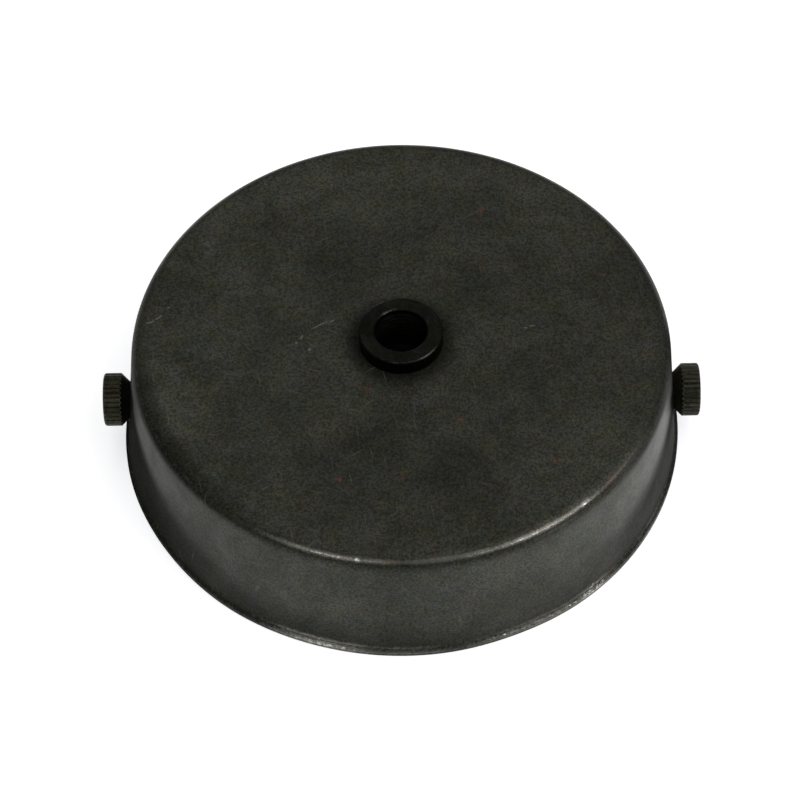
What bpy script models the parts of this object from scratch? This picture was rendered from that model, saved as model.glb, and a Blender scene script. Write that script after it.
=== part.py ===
"""Ceiling canopy for a hanging light: a pressed steel cup that hides the wiring against the ceiling.

The cup stands here on its open rim, closed face up, as it lies on a bench. On a ceiling it hangs the
other way up: a steel strap is screwed to the ceiling, the cup goes over it, and two knurled thumb
screws pass through the cup's wall into the strap's ears. The lamp's cord leaves through the bush in
the middle of the closed face.

Units are metres and +Z is up. The origin is the middle of the rim's plane, and the thumb screws lie
along X.
"""

import math

import bmesh
import bpy
from mathutils import Matrix, Vector

# Pressed cup
RIM_RADIUS = 0.0500
FACE_RADIUS = 0.0474
CUP_HEIGHT = 0.0245
CORNER_RADIUS = 0.0025
SHEET = 0.0010
RIM_EDGE = 0.0006
LIP_HEIGHT = 0.0015
LIP_FLARE = 0.0005
EDGE_BREAK = 0.00015

# Gaps between pieces that touch on the real canopy, and between a thread and its hole
SEAT_GAP = 0.0003
THREAD_GAP = 0.0003

# Bush that the cord passes through, with its lock washer and nut inside the cup
BORE_RADIUS = 0.0046
BORE_CHAMFER = 0.0003
COLLAR_RADIUS = 0.0074
COLLAR_HEIGHT = 0.0028
COLLAR_ROUND = 0.0004
BUSH_THREAD_RADIUS = 0.0060
BUSH_THREAD_PROUD = 0.0010
WASHER_THICKNESS = 0.0008
WASHER_BAND = 0.0022
WASHER_TOOTH = 0.0012
WASHER_TEETH = 12
BUSH_NUT_FLATS = 0.0160
BUSH_NUT_THICKNESS = 0.0030
NUT_CHAMFER = 0.0006

# Strap that is screwed to the ceiling
STRAP_THICKNESS = 0.0015
STRAP_WIDTH = 0.0150
STRAP_SETBACK = 0.0005
BEND_RADIUS = 0.0012
EAR_ABOVE_SCREW = 0.0056
EAR_CORNER = 0.0040
STRAP_HOLE_RADIUS = 0.0052
SLOT_WIDTH = 0.0052
SLOT_LENGTH = 0.0140
SLOT_TO_MIDDLE = 0.0270
PLUNGE_WALL = 0.0010
PLUNGE_DEPTH = 0.0012

# Knurled thumb screws, whose necks taper at 45 degrees into the holes in the cup's wall
SCREW_AXIS_HEIGHT = 0.0091
WALL_HOLE_RADIUS = 0.0040
SCREW_THREAD_RADIUS = 0.00180
SCREW_TIP_CHAMFER = 0.0005
SCREW_PAST_EAR = 0.0030
KNURL_RADIUS = 0.00475
KNURL_LENGTH = 0.0031
KNURL_DEPTH = 0.00030
KNURL_TEETH = 32
NECK_RADIUS = 0.0024
END_ROUND = 0.0006

# Earth screw and its clamp washer on the strap
EARTH_TO_MIDDLE = 0.0130
EARTH_THREAD_RADIUS = 0.0018
EARTH_HEAD_RADIUS = 0.0036
EARTH_HEAD_HEIGHT = 0.0024
EARTH_HEAD_ROUND = 0.0010
EARTH_SLOT_WIDTH = 0.0010
EARTH_SLOT_DEPTH = 0.0012
CLAMP_RADIUS = 0.0042
CLAMP_THICKNESS = 0.0008
CLAMP_DISH = 0.0006

# Facets of each round form
CUP_FACETS = 80
BUSH_FACETS = 48
WASHER_STEPS_PER_TOOTH = 5
HOLE_FACETS = 32
THREAD_FACETS = 24
ARC_STEPS = 5
QUARTER = math.pi / 2


def finish(name, colour, metallic, roughness):
    """A Principled material with one plain colour."""
    material = bpy.data.materials.new(name)
    material.use_nodes = True
    shader = material.node_tree.nodes["Principled BSDF"]
    shader.inputs["Base Color"].default_value = (*colour, 1.0)
    shader.inputs["Metallic"].default_value = metallic
    shader.inputs["Roughness"].default_value = roughness
    return material


def as_object(name, mesh_in_progress, material, parent=None):
    """Turns a finished bmesh into an object of that name, shaded smooth with sharp corners kept."""
    bmesh.ops.recalc_face_normals(mesh_in_progress, faces=mesh_in_progress.faces)
    if mesh_in_progress.calc_volume(signed=True) < 0:
        bmesh.ops.reverse_faces(mesh_in_progress, faces=mesh_in_progress.faces)
    mesh = bpy.data.meshes.new(name)
    mesh_in_progress.to_mesh(mesh)
    mesh_in_progress.free()
    mesh.shade_smooth()
    mesh.set_sharp_from_angle(angle=math.radians(32))
    mesh.materials.append(material)
    made = bpy.data.objects.new(name, mesh)
    bpy.context.scene.collection.objects.link(made)
    made.parent = parent
    return made


def arc(centre, radius, start, end, steps=ARC_STEPS):
    """Points on an arc in the profile plane, both ends included."""
    turn = [start + (end - start) * i / steps for i in range(steps + 1)]
    return [(centre[0] + radius * math.cos(a), centre[1] + radius * math.sin(a)) for a in turn]


def circle(radius, facets):
    """The corners of a regular polygon that stands for a circle."""
    return arc((0.0, 0.0), radius, 0.0, 2 * math.pi, facets)[:-1]


def turned(name, profile, facets, material, parent=None):
    """Spins a closed profile of (radius, height) points round the Z axis."""
    shape = bmesh.new()
    corners = [shape.verts.new((radius, 0.0, height)) for radius, height in profile]
    edges = [shape.edges.new((a, b)) for a, b in zip(corners, corners[1:] + corners[:1])]
    bmesh.ops.spin(
        shape,
        geom=corners + edges,
        cent=(0, 0, 0),
        axis=(0, 0, 1),
        angle=2 * math.pi,
        steps=facets,
        use_merge=True,
    )
    bmesh.ops.remove_doubles(shape, verts=shape.verts, dist=1e-7)
    return as_object(name, shape, material, parent)


def lofted(name, rings, material, parent=None, closed=False):
    """Skins (outline, height) rings of equal count. Both ends are capped, or joined to each other."""
    shape = bmesh.new()
    loops = [[shape.verts.new((x, y, height)) for x, y in outline] for outline, height in rings]
    if closed:
        loops.append(loops[0])
    else:
        shape.faces.new(loops[0])
        shape.faces.new(loops[-1])
    for lower, upper in zip(loops, loops[1:]):
        for i in range(len(lower)):
            shape.faces.new((lower[i - 1], lower[i], upper[i], upper[i - 1]))
    return as_object(name, shape, material, parent)


def extruded(name, outline, depth, material, parent=None):
    """Fills an outline of 3-D points with one face and extrudes it by a vector."""
    shape = bmesh.new()
    face = shape.faces.new([shape.verts.new(point) for point in outline])
    grown = bmesh.ops.extrude_face_region(shape, geom=[face])
    moved = [item for item in grown["geom"] if isinstance(item, bmesh.types.BMVert)]
    bmesh.ops.translate(shape, vec=Vector(depth), verts=moved)
    return as_object(name, shape, material, parent)


def boolean(target, operation, other):
    """Adds a Boolean to target. The other shape stays as a hidden guide."""
    modifier = target.modifiers.new(f"{operation.lower()} {other.name}", "BOOLEAN")
    modifier.operation = operation
    modifier.solver = "EXACT"
    modifier.object = other
    other.hide_render = True
    other.display_type = "WIRE"


def rod_between(name, start, end, radius, facets, material, parent):
    """A cylinder from one point to another, used as a cutter."""
    axis = Vector(end) - Vector(start)
    turn = axis.to_track_quat("Z", "Y").to_matrix().to_4x4()
    rod = lofted(name, [(circle(radius, facets), 0.0), (circle(radius, facets), axis.length)], material, parent)
    rod.data.transform(Matrix.Translation(start) @ turn)
    return rod


def wall_draft():
    """The angle by which the cup's wall leans in, from the rim up to the closed face."""
    return math.atan2(RIM_RADIUS - LIP_FLARE - FACE_RADIUS, CUP_HEIGHT)


def wall_outside(height):
    """The cup's outer radius at a height: a straight drafted wall that curves out to an upright edge."""
    straight = FACE_RADIUS + (CUP_HEIGHT - height) * math.tan(wall_draft())
    curl = min(1.0, max(0.0, (LIP_HEIGHT - height) / (LIP_HEIGHT - RIM_EDGE)))
    return straight + LIP_FLARE * curl**2


def wall_inside(height):
    """The cup's inner radius at a height."""
    return wall_outside(height) - SHEET / math.cos(wall_draft())


def cup_profile():
    """The cup's section: up the outer wall, over the corner, across the face and back inside."""
    lean = wall_draft()
    corner_height = CUP_HEIGHT - CORNER_RADIUS
    straight = FACE_RADIUS + CORNER_RADIUS * math.tan(lean)
    corner = (straight - CORNER_RADIUS / math.cos(lean), corner_height)
    lip_heights = [RIM_EDGE + (LIP_HEIGHT - RIM_EDGE) * share for share in (0.0, 0.25, 0.5, 1.0)]
    outer_lip = [(wall_outside(z), z) for z in lip_heights]
    inner_lip = [(wall_inside(z), z) for z in lip_heights]
    hole = BUSH_THREAD_RADIUS + THREAD_GAP
    profile = [(wall_outside(0.0) - EDGE_BREAK, 0.0), (wall_outside(EDGE_BREAK), EDGE_BREAK)]
    profile += outer_lip
    profile += arc(corner, CORNER_RADIUS, lean, QUARTER)
    profile += [(hole, CUP_HEIGHT), (hole, CUP_HEIGHT - SHEET)]
    profile += arc(corner, CORNER_RADIUS - SHEET, QUARTER, lean)
    profile += inner_lip[::-1]
    profile += [(wall_inside(EDGE_BREAK), EDGE_BREAK), (wall_inside(0.0) + EDGE_BREAK, 0.0)]
    return profile


def make_cup(steel, parent):
    """The pressed cup, with one hole in its face and two in its wall."""
    cup = turned("canopy_cup", cup_profile(), CUP_FACETS, steel, parent)
    for side, word in ((1, "right"), (-1, "left")):
        hole = rod_between(
            f"cut_{word}_wall_hole",
            (side * ear_inside(), 0, SCREW_AXIS_HEIGHT),
            (side * (RIM_RADIUS + SHEET), 0, SCREW_AXIS_HEIGHT),
            WALL_HOLE_RADIUS,
            HOLE_FACETS,
            steel,
            parent,
        )
        boolean(cup, "DIFFERENCE", hole)
    return cup


def bush_levels():
    """Heights of the stack on the bush, from the cup's face down: washer, nut and thread end."""
    washer_top = CUP_HEIGHT - SHEET - SEAT_GAP
    nut_top = washer_top - WASHER_THICKNESS - SEAT_GAP
    thread_end = nut_top - BUSH_NUT_THICKNESS - BUSH_THREAD_PROUD
    return washer_top, nut_top, thread_end


def make_bush(steel, parent):
    """The flanged bush: a round collar on the face, and a hollow threaded shank through it."""
    under = CUP_HEIGHT + SEAT_GAP
    top = under + COLLAR_HEIGHT
    end = bush_levels()[2]
    shoulder = (COLLAR_RADIUS - COLLAR_ROUND, top - COLLAR_ROUND)
    profile = [(COLLAR_RADIUS - EDGE_BREAK, under), (COLLAR_RADIUS, under + EDGE_BREAK)]
    profile += arc(shoulder, COLLAR_ROUND, 0.0, QUARTER, 3)
    profile += [(BORE_RADIUS + BORE_CHAMFER, top), (BORE_RADIUS, top - BORE_CHAMFER)]
    profile += [(BORE_RADIUS, end + BORE_CHAMFER), (BORE_RADIUS + BORE_CHAMFER, end)]
    profile += [(BUSH_THREAD_RADIUS - BORE_CHAMFER, end), (BUSH_THREAD_RADIUS, end + BORE_CHAMFER)]
    profile += [(BUSH_THREAD_RADIUS, under)]
    return turned("cord_bush", profile, BUSH_FACETS, steel, parent)


def make_lock_washer(steel, parent):
    """The lock washer: a flat ring whose inner teeth are bent out of its plane, up and down in turn."""
    inner = BUSH_THREAD_RADIUS + THREAD_GAP
    root = inner + WASHER_TOOTH
    outer = root + WASHER_BAND
    steps = WASHER_TEETH * WASHER_STEPS_PER_TOOTH
    outside = circle(outer, steps)
    inside = []
    for i in range(steps):
        radius = inner if i % WASHER_STEPS_PER_TOOTH < 3 else root
        angle = 2 * math.pi * i / steps
        inside.append((radius * math.cos(angle), radius * math.sin(angle)))
    top = bush_levels()[0]
    bottom = top - WASHER_THICKNESS
    rings = [(outside, bottom), (outside, top), (inside, top), (inside, bottom)]
    return lofted("bush_lock_washer", rings, steel, parent, closed=True)


def make_bush_nut(steel, parent):
    """The thin hexagon nut: a chamfered disc with a bore, cut to six flats."""
    top = bush_levels()[1]
    bottom = top - BUSH_NUT_THICKNESS
    bore = BUSH_THREAD_RADIUS + THREAD_GAP
    corner = BUSH_NUT_FLATS / 2 / math.cos(math.radians(30))
    disc = [(bore + NUT_CHAMFER / 2, bottom), (corner - NUT_CHAMFER, bottom)]
    disc += [(corner, bottom + NUT_CHAMFER / 2), (corner, top - NUT_CHAMFER / 2)]
    disc += [(corner - NUT_CHAMFER, top), (bore + NUT_CHAMFER / 2, top)]
    disc += [(bore, top - NUT_CHAMFER / 2), (bore, bottom + NUT_CHAMFER / 2)]
    nut = turned("bush_nut", disc, BUSH_FACETS, steel, parent)
    hexagon = circle(corner, 6)
    flats = lofted(
        "keep_bush_nut_flats",
        [(hexagon, bottom - NUT_CHAMFER), (hexagon, top + NUT_CHAMFER)],
        steel,
        parent,
    )
    boolean(nut, "INTERSECT", flats)
    return nut


def ear_top():
    """The height of the strap's ears above the rim's plane."""
    return SCREW_AXIS_HEIGHT + EAR_ABOVE_SCREW


def ear_outside():
    """How far out the ears stand: their upper corners just clear the cup's wall."""
    straight_edge = STRAP_WIDTH / 2 - EAR_CORNER * (1 - math.sqrt(0.5))
    near_corner = math.sqrt(wall_inside(ear_top()) ** 2 - straight_edge**2)
    near_edge = math.sqrt(wall_inside(ear_top() - EAR_CORNER) ** 2 - (STRAP_WIDTH / 2) ** 2)
    return min(near_corner, near_edge) - SEAT_GAP


def ear_inside():
    """The inner face of an ear."""
    return ear_outside() - STRAP_THICKNESS


def strap_side():
    """Half of the strap's side view, from its middle out and up the ear, then back along the inside."""
    low = STRAP_SETBACK
    outer_bend = BEND_RADIUS + STRAP_THICKNESS
    centre = (ear_outside() - outer_bend, low + outer_bend)
    outside = arc(centre, outer_bend, -QUARTER, 0.0)
    inside = arc(centre, BEND_RADIUS, 0.0, -QUARTER)
    return outside + [(ear_outside(), ear_top()), (ear_inside(), ear_top())] + inside


def make_strap(zinc, parent):
    """The strap: one strip of steel bent up at both ends, with slots, a cord hole and tapped ears."""
    half = strap_side()
    mirrored = [(-x, z) for x, z in reversed(half)]
    side_view = [(x, -STRAP_WIDTH / 2, z) for x, z in half + mirrored]
    strap = extruded("mounting_strap", side_view, (0, STRAP_WIDTH, 0), zinc, parent)

    corner_y = STRAP_WIDTH / 2 - EAR_CORNER
    corner_z = ear_top() - EAR_CORNER
    reach = RIM_RADIUS + SHEET
    end_view = [(-STRAP_WIDTH / 2, -SHEET), (STRAP_WIDTH / 2, -SHEET)]
    end_view += arc((corner_y, corner_z), EAR_CORNER, 0.0, QUARTER)
    end_view += arc((-corner_y, corner_z), EAR_CORNER, QUARTER, 2 * QUARTER)
    outline = [(-reach, y, z) for y, z in end_view]
    boolean(strap, "INTERSECT", extruded("keep_strap_end_view", outline, (2 * reach, 0, 0), zinc, parent))

    for side, word in ((1, "right"), (-1, "left")):
        inner = side * (ear_inside() - PLUNGE_DEPTH)
        plunge = rod_between(
            f"add_{word}_plunged_collar",
            (inner, 0, SCREW_AXIS_HEIGHT),
            (side * (ear_inside() + STRAP_THICKNESS / 2), 0, SCREW_AXIS_HEIGHT),
            SCREW_THREAD_RADIUS + THREAD_GAP + PLUNGE_WALL,
            THREAD_FACETS,
            zinc,
            parent,
        )
        boolean(strap, "UNION", plunge)
        tapping = rod_between(
            f"cut_{word}_tapped_hole",
            (inner - side * SHEET, 0, SCREW_AXIS_HEIGHT),
            (side * (ear_outside() + SHEET), 0, SCREW_AXIS_HEIGHT),
            SCREW_THREAD_RADIUS + THREAD_GAP,
            THREAD_FACETS,
            zinc,
            parent,
        )
        boolean(strap, "DIFFERENCE", tapping)
        boolean(strap, "DIFFERENCE", slot_cutter(f"cut_{word}_slot", side * SLOT_TO_MIDDLE, zinc, parent))

    for name, x, radius in (
        ("cut_strap_cord_hole", 0.0, STRAP_HOLE_RADIUS),
        ("cut_earth_hole", EARTH_TO_MIDDLE, EARTH_THREAD_RADIUS + THREAD_GAP),
    ):
        top = STRAP_SETBACK + STRAP_THICKNESS + SHEET
        drill = rod_between(name, (x, 0, -SHEET), (x, 0, top), radius, HOLE_FACETS, zinc, parent)
        boolean(strap, "DIFFERENCE", drill)
    return strap


def slot_cutter(name, x, zinc, parent):
    """A round-ended slot along X, as a prism through the strap."""
    end = (SLOT_LENGTH - SLOT_WIDTH) / 2
    outline = arc((x + end, 0), SLOT_WIDTH / 2, -QUARTER, QUARTER, 8)
    outline += arc((x - end, 0), SLOT_WIDTH / 2, QUARTER, 3 * QUARTER, 8)
    height = STRAP_SETBACK + STRAP_THICKNESS + 2 * SHEET
    return extruded(name, [(px, py, -SHEET) for px, py in outline], (0, 0, height), zinc, parent)


def knurled_ring(radius, depth):
    """A circle whose points are in turn the crest of a tooth and the root beside it."""
    ring = circle(1.0, 2 * KNURL_TEETH)
    reach = [radius, radius - depth] * KNURL_TEETH
    return [(x * r, y * r) for (x, y), r in zip(ring, reach)]


def screw_seat():
    """Where the taper's narrow end lies, so that the taper stops just short of its hole's edge."""
    hole_edge = wall_outside(SCREW_AXIS_HEIGHT - WALL_HOLE_RADIUS)
    taper_there = WALL_HOLE_RADIUS - SEAT_GAP * math.sqrt(2)
    return hole_edge - (taper_there - NECK_RADIUS)


def make_thumb_screw(name, side, brass, parent):
    """A thumb screw, made along +Z from the taper's narrow end, then laid along X through the wall."""
    shank = screw_seat() - ear_inside() + SCREW_PAST_EAR
    root = KNURL_RADIUS - KNURL_DEPTH
    taper_to_root = root - NECK_RADIUS
    taper_to_crest = KNURL_RADIUS - NECK_RADIUS
    head_end = taper_to_crest + KNURL_LENGTH
    rings = [
        (knurled_ring(SCREW_THREAD_RADIUS - SCREW_TIP_CHAMFER, 0.0), -shank),
        (knurled_ring(SCREW_THREAD_RADIUS, 0.0), -shank + SCREW_TIP_CHAMFER),
        (knurled_ring(SCREW_THREAD_RADIUS, 0.0), 0.0),
        (knurled_ring(NECK_RADIUS, 0.0), 0.0),
        (knurled_ring(root, 0.0), taper_to_root),
        (knurled_ring(KNURL_RADIUS, KNURL_DEPTH), taper_to_crest),
        (knurled_ring(KNURL_RADIUS, KNURL_DEPTH), head_end - END_ROUND),
        (knurled_ring(root, 0.0), head_end - END_ROUND / 3),
        (knurled_ring(root - END_ROUND / 2, 0.0), head_end),
    ]
    screw = lofted(name, rings, brass, parent)
    screw.location = (side * screw_seat(), 0, SCREW_AXIS_HEIGHT)
    screw.rotation_euler = (0, side * QUARTER, 0)
    return screw


def strap_face():
    """The height of the strap's upper face, where the earth screw's washer sits."""
    return STRAP_SETBACK + STRAP_THICKNESS


def make_earth_screw(brass, parent):
    """The earth screw, with a rounded slotted head above its clamp washer."""
    under_head = 2 * SEAT_GAP + CLAMP_THICKNESS
    top = under_head + EARTH_HEAD_HEIGHT
    dome = (EARTH_HEAD_RADIUS - EARTH_HEAD_ROUND, top - EARTH_HEAD_ROUND)
    profile = [(0.0, -STRAP_THICKNESS), (EARTH_THREAD_RADIUS, -STRAP_THICKNESS)]
    profile += [(EARTH_THREAD_RADIUS, under_head), (EARTH_HEAD_RADIUS, under_head)]
    profile += arc(dome, EARTH_HEAD_ROUND, 0.0, QUARTER, 4)
    profile += [(0.0, top)]
    screw = turned("earth_screw", profile, THREAD_FACETS, brass, parent)
    half = EARTH_SLOT_WIDTH / 2
    far = 2 * EARTH_HEAD_RADIUS
    low = top - EARTH_SLOT_DEPTH
    blade = [(-far, -half, low), (-far, half, low), (-far, half, 2 * top), (-far, -half, 2 * top)]
    driver_slot = extruded("cut_earth_screw_slot", blade, (2 * far, 0, 0), brass, parent)
    boolean(screw, "DIFFERENCE", driver_slot)
    for piece in (screw, driver_slot):
        piece.location = (EARTH_TO_MIDDLE, 0, strap_face())
        piece.rotation_euler = (0, 0, math.radians(35))
    return screw


def make_clamp_washer(brass, parent):
    """The washer that clamps the earth wire, its rim turned up like a saucer round the screw's head."""
    bore = EARTH_THREAD_RADIUS + THREAD_GAP
    turn_up = EARTH_HEAD_RADIUS + SEAT_GAP
    low = SEAT_GAP
    high = low + CLAMP_THICKNESS
    rim = turn_up + CLAMP_RADIUS - EARTH_HEAD_RADIUS
    profile = [(bore, low), (turn_up, low), (rim, low + CLAMP_DISH)]
    profile += [(rim, high + CLAMP_DISH), (turn_up, high), (bore, high)]
    washer = turned("earth_clamp_washer", profile, THREAD_FACETS, brass, parent)
    washer.location = (EARTH_TO_MIDDLE, 0, strap_face())
    return washer


def build():
    """Clears the scene and makes every piece under one empty at the rim's middle."""
    for old in list(bpy.data.objects):
        bpy.data.objects.remove(old, do_unlink=True)
    frame = bpy.data.objects.new("canopy_frame", None)
    bpy.context.scene.collection.objects.link(frame)

    dark_steel = finish("darkened steel", (0.040, 0.040, 0.034), 0.7, 0.50)
    black_bush = finish("blackened bush", (0.020, 0.020, 0.018), 0.7, 0.45)
    dark_brass = finish("darkened brass", (0.045, 0.033, 0.026), 0.7, 0.50)
    zinc = finish("zinc plate", (0.48, 0.49, 0.50), 1.0, 0.40)
    bright_brass = finish("plain brass", (0.62, 0.47, 0.22), 1.0, 0.35)

    make_cup(dark_steel, frame)
    make_bush(black_bush, frame)
    make_lock_washer(zinc, frame)
    make_bush_nut(zinc, frame)
    make_strap(zinc, frame)
    make_thumb_screw("left_thumb_screw", -1, dark_brass, frame)
    make_thumb_screw("right_thumb_screw", 1, dark_brass, frame)
    make_clamp_washer(bright_brass, frame)
    make_earth_screw(bright_brass, frame)


build()
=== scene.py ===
# %% [markdown]
# # A blackened steel ceiling canopy
#
# A ceiling canopy is the cup that hides the wiring where a hanging lamp meets the ceiling. This one lies
# on a white table, rim down and closed face up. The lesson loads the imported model, sets the camera where
# the photographer stood, and then makes each piece again with the fine shape and the finish that it has
# in the hand: a pressed steel cup, a turned bush, two knurled screws and the strap inside.
#
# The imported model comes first, because every piece has to sit where it is held in the frame.

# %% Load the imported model
import math

import bmesh
import bpy
import numpy as np
from mathutils import Matrix, Vector


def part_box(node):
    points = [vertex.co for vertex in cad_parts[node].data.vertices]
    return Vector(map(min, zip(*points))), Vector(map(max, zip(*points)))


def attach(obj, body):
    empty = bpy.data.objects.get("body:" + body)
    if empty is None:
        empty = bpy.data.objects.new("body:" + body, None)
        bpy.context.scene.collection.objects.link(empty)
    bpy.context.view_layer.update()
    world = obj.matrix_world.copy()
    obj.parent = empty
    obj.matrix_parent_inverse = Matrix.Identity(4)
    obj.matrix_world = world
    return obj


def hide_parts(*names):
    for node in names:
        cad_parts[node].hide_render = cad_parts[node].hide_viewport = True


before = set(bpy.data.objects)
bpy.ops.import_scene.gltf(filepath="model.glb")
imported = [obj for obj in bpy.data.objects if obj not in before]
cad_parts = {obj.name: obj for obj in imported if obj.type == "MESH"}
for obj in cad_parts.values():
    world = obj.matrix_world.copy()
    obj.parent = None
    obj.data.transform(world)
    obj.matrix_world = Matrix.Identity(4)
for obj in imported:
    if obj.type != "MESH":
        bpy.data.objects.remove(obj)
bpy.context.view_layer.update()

MM = 0.001
TURN = 2 * math.pi

# %% [markdown]
# ## The camera
#
# The photograph looks down on the canopy from a little over fifty degrees, through a long lens. A long
# lens far away keeps the far side of the rim nearly as wide as the near side. The numbers were found by
# fitting the rim's and the face's outlines, so they are kept as real angles and distances. The small
# shift only slides the picture to the photograph's framing.

# %% Camera
PICTURE_WIDTH = 800
CAMERA_ELEVATION = math.radians(52.33)
CAMERA_AZIMUTH = math.radians(-0.39)
CAMERA_ROLL = math.radians(-0.70)
CAMERA_DISTANCE = 581.9 * MM
CAMERA_AIM = Vector((0.0, 0.0, 12.0 * MM))
FOCAL_LENGTH_IN_PIXELS = 3252.8
FRAMING_OFFSET_IN_PIXELS = (1.60, -15.57)
SENSOR_WIDTH_MM = 36.0


def direction(azimuth, elevation):
    """The unit vector towards a place seen from the canopy. Azimuth 0 is the camera's side, -Y."""
    flat = math.cos(elevation)
    return Vector((math.sin(azimuth) * flat, -math.cos(azimuth) * flat, math.sin(elevation)))


def face_canopy(data, azimuth, elevation, distance, roll=0.0):
    """Puts a camera or a lamp on a sphere round the aim point, rolled about its own line of sight."""
    made = bpy.data.objects.new(data.name, data)
    away = direction(azimuth, elevation)
    made.rotation_mode = "QUATERNION"
    upright = (-away).to_track_quat("-Z", "Y")
    made.rotation_quaternion = upright @ Matrix.Rotation(roll, 3, "Z").to_quaternion()
    made.location = CAMERA_AIM + away * distance
    bpy.context.scene.collection.objects.link(made)
    return made


def make_camera():
    """The lens and framing of the photograph."""
    data = bpy.data.cameras.new("photo camera")
    data.sensor_width = SENSOR_WIDTH_MM
    data.lens = FOCAL_LENGTH_IN_PIXELS * SENSOR_WIDTH_MM / PICTURE_WIDTH
    data.shift_x = -FRAMING_OFFSET_IN_PIXELS[0] / PICTURE_WIDTH
    data.shift_y = FRAMING_OFFSET_IN_PIXELS[1] / PICTURE_WIDTH
    data.clip_start = 10 * MM
    return face_canopy(data, CAMERA_AZIMUTH, CAMERA_ELEVATION, CAMERA_DISTANCE, CAMERA_ROLL)


bpy.context.scene.camera = make_camera()
print("lens in mm:", round(bpy.context.scene.camera.data.lens, 1))

# %% [markdown]
# ## Shader building blocks
#
# Materials here are written as short functions. One helper adds a node where its inputs come from and
# feeds them, and a few more cover what each finish needs: a product, a soft threshold, a blend, noise and
# scattered dots.

# %% Shader helpers


def feed(node, inputs):
    """Links or sets a node's inputs by name or number. A colour is given as three numbers."""
    for name, value in inputs.items():
        socket = node.inputs[name]
        if isinstance(value, bpy.types.NodeSocket):
            node.id_data.links.new(value, socket)
        else:
            socket.default_value = (*value, 1.0) if socket.type == "RGBA" else value


def add_node(kind, inputs=None, tree=None, **settings):
    """Adds a node to the tree given or the one its inputs come from, sets it up and feeds its inputs."""
    inputs = inputs or {}
    linked = [value for value in inputs.values() if isinstance(value, bpy.types.NodeSocket)]
    made = (tree or linked[0].id_data).nodes.new(kind)
    for name, value in settings.items():
        setattr(made, name, value)
    feed(made, inputs)
    return made


def maths(operation, first, second):
    """The result of one Math node."""
    return add_node("ShaderNodeMath", {0: first, 1: second}, operation=operation).outputs[0]


def times(first, second):
    """The product of two values."""
    return maths("MULTIPLY", first, second)


def soft_step(value, low, high):
    """0 below low, 1 above high, with a smooth rise between."""
    inputs = {"Value": value, "From Min": low, "From Max": high}
    return add_node("ShaderNodeMapRange", inputs, interpolation_type="SMOOTHSTEP").outputs["Result"]


def blend(factor, first, second):
    """The first colour where factor is 0 and the second where it is 1."""
    inputs = {0: factor, 6: first, 7: second}
    return add_node("ShaderNodeMix", inputs, data_type="RGBA").outputs[2]


def blend_values(factor, first, second):
    """The first number where factor is 0 and the second where it is 1."""
    return add_node("ShaderNodeMix", {0: factor, 2: first, 3: second}).outputs[0]


def noise(position, scale, detail=3.0, roughness=0.5, distortion=0.0, output="Fac"):
    """Fractal noise from 0 to 1, or its three colour channels, with scale in cycles for each metre."""
    inputs = {"Vector": position, "Scale": scale, "Detail": detail, "Roughness": roughness,
              "Distortion": distortion}
    return add_node("ShaderNodeTexNoise", inputs).outputs[output]


def scattered_dots(position, scale, core, edge):
    """A soft dot in the middle of each random cell, and three random numbers for each cell."""
    cells = add_node("ShaderNodeTexVoronoi", {"Vector": position, "Scale": scale}).outputs
    dot = maths("SUBTRACT", 1.0, soft_step(cells["Distance"], core, edge))
    return dot, add_node("ShaderNodeSeparateColor", {"Color": cells["Color"]}).outputs


def bumps(height, strength, size):
    """A surface normal that follows a pattern of heights. Size is how high a height of 1 is."""
    inputs = {"Strength": strength, "Distance": size, "Height": height}
    return add_node("ShaderNodeBump", inputs).outputs["Normal"]


def new_group(name, numbers, outputs, colours=()):
    """An empty node group with a Position input, named number inputs, and number or colour outputs."""
    group = bpy.data.node_groups.new(name, "ShaderNodeTree")
    group.interface.new_socket("Position", in_out="INPUT", socket_type="NodeSocketVector")
    for socket_name, default in numbers.items():
        socket = group.interface.new_socket(socket_name, in_out="INPUT", socket_type="NodeSocketFloat")
        socket.default_value = default
    for kind, names in (("NodeSocketFloat", outputs), ("NodeSocketColor", colours)):
        for socket_name in names:
            group.interface.new_socket(socket_name, in_out="OUTPUT", socket_type=kind)
    return group, group.nodes.new("NodeGroupInput").outputs, group.nodes.new("NodeGroupOutput")


def use_group(group, inputs):
    """Places a group in a material and returns its outputs."""
    return add_node("ShaderNodeGroup", inputs, node_tree=group).outputs


# %% [markdown]
# ## Effects that several finishes share
#
# A chemical finish on steel is never even. It gathers in clouds as wide as a thumb, it has a fine tooth
# from the acid, and here and there it leaves a speck. Two layers of fractal noise and one of small cells
# give the three scales. Handling adds hairlines, short and straight and in a few directions. A cell
# pattern seen through a stretched coordinate turns each cell's middle into such a dash.

# %% Shared effect groups
CLOUD_RANGE = (0.30, 0.70)
DRIFT_LOW = (0.92, 0.97, 0.84)
DRIFT_HIGH = (1.08, 1.03, 1.16)
SPECK_EDGE, SPECK_CHANCE = (0.04, 0.17), (0.84, 0.90)
SCRATCH_DIRECTIONS = (0.35, 1.45, 2.60)
SCRATCH_TILT = (0.2, 0.3)
SCRATCH_EDGE = (0.10, 0.30)
RUB_SHOWS, THINNED_AT, BARE_AT = (0.02, 0.25), (0.25, 0.75), (0.75, 1.15)


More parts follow.
